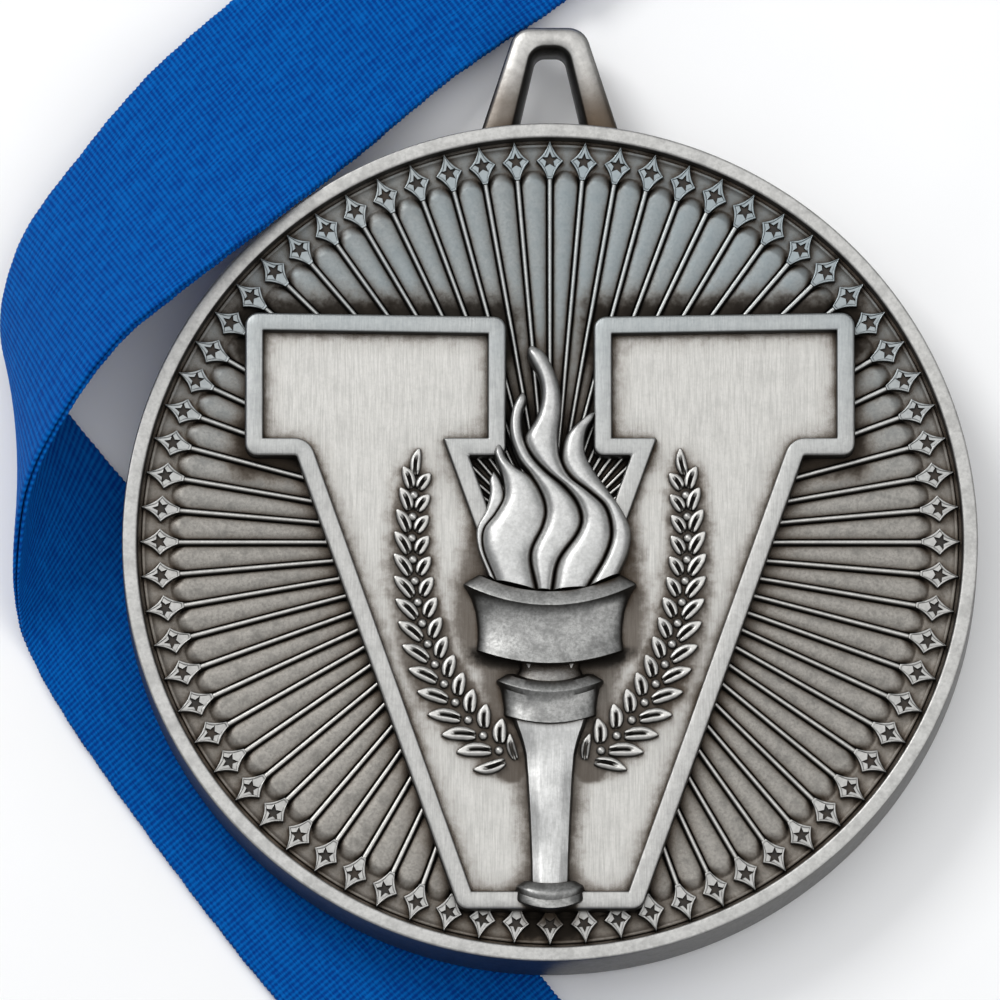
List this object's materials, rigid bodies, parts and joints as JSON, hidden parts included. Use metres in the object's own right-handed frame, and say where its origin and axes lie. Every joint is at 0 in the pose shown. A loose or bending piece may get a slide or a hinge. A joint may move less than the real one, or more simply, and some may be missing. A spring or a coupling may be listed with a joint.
{
  "type": "medal",
  "caption": "Round antique-silver award medal with a torch, laurels and a V-shaped relief, lying on its blue ribbed neck ribbon with a snap hook.",
  "frame": {"origin": "centre of the eye in the medal's hanging loop, at half the loop's thickness", "axes": "+Z out of the medal's face, which lies flat and looks up; +Y from the medal's centre through its loop; +X to the medal's right as seen"},
  "size_m": [0.0687, 0.1435, 0.0114],
  "materials": {
    "antique_silver": "antique silver plating, brushed high spots and dark recesses",
    "ribbon_blue": "royal blue ribbed weave (grosgrain)",
    "thread_blue": "polyester sewing thread",
    "band_black": "matt elastic band",
    "clip_nickel": "nickel plated die-cast zinc",
    "pin_steel": "bright drawn steel"
  },
  "bodies": {
    "medal": {"blank": "antique_silver", "rim": "antique_silver", "hanging_loop": "antique_silver", "rays": "antique_silver", "ray_panels": "antique_silver", "diamond_border": "antique_silver", "v_panel": "antique_silver", "v_border": "antique_silver", "flame_tongue_1": "antique_silver", "flame_tongue_2": "antique_silver", "flame_tongue_3": "antique_silver", "flame_tongue_4": "antique_silver", "flame_tongue_5": "antique_silver", "torch_bowl": "antique_silver", "torch_neck": "antique_silver", "torch_collar": "antique_silver", "torch_shaft": "antique_silver", "torch_foot": "antique_silver", "laurel_leaves_left": "antique_silver", "laurel_berries_left": "antique_silver", "laurel_leaves_right": "antique_silver", "laurel_berries_right": "antique_silver"},
    "ribbon": {"ribbon_upper_run": "ribbon_blue", "ribbon_fold": "ribbon_blue", "ribbon_lower_run": "ribbon_blue", "ribbon_hank": "ribbon_blue", "hank_band": "band_black", "ribbon_sewn_end": "ribbon_blue", "end_stitches": "thread_blue", "clip_ring": "clip_nickel"},
    "hook": {"swivel_post": "clip_nickel", "hook_body": "clip_nickel", "gate_pin": "pin_steel", "gate_spring": "pin_steel"},
    "gate": {"hook_gate": "clip_nickel"}
  },
  "joints": [
    {"name": "medal_lift", "type": "slide", "parent": "ribbon", "child": "medal", "axis": [0, 0, 1], "range_m": [0, 0.04]},
    {"name": "hook_swivel", "type": "hinge", "parent": "ribbon", "child": "hook", "pos_m": [0.01183, 0.02571, -0.00155], "axis": [0.7782, 0.628, 0], "continuous": true},
    {"name": "gate_hinge", "type": "hinge", "parent": "hook", "child": "gate", "pos_m": [0.01256, 0.02926, -0.00155], "axis": [0, 0, 1], "range_deg": [-26, 0], "stiffness_Nm_per_rad": 0.004, "springref_deg": 5.73}
  ]
}
